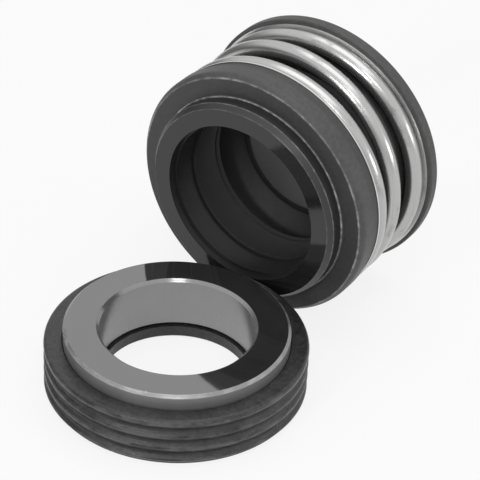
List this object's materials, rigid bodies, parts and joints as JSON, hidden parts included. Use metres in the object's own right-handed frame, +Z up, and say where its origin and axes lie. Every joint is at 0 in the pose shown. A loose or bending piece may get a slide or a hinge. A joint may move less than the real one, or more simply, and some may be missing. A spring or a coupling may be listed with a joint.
{
  "type": "mechanical seal",
  "caption": "Pump shaft seal in two halves: a polished hard seat ring in a ribbed rubber cup, and a sprung sealing head with a face ring, a wide steel spring and a back plate.",
  "frame": {"origin": "under the middle of the pair's box, on the surface that both halves stand on", "axes": "+Z up, along the seat's axis; +Y from the seat to the head, close to the head's axis, which rises 2.3 degrees to its back; +X to the right seen from the seat"},
  "size_m": [0.0392, 0.0566, 0.0375],
  "materials": {
    "cup_rubber": "satin moulded",
    "bellows_rubber": "matte moulded",
    "hard_ring": "lapped and polished, dark",
    "carbon_ring": "lapped carbon, dark and smooth",
    "moulded_black": "matte moulded",
    "spring_steel": "bright drawn wire",
    "thin_steel": "bright sheet"
  },
  "bodies": {
    "resting": {"seat_cup": "cup_rubber", "seat_ring": "hard_ring", "spring": "spring_steel", "bellows": "bellows_rubber", "drive_band": "thin_steel", "rear_washer": "thin_steel", "back_plate": "moulded_black"},
    "sliding_front": {"front_holder": "moulded_black", "face_ring": "carbon_ring", "front_washer": "thin_steel"}
  },
  "joints": [
    {"name": "spring_travel", "type": "slide", "parent": "resting", "child": "sliding_front", "axis": [0, 0.9992, 0.0409], "range_m": [0, 0.003], "stiffness_N_per_m": 5800, "deforming": ["spring", "bellows"]}
  ]
}
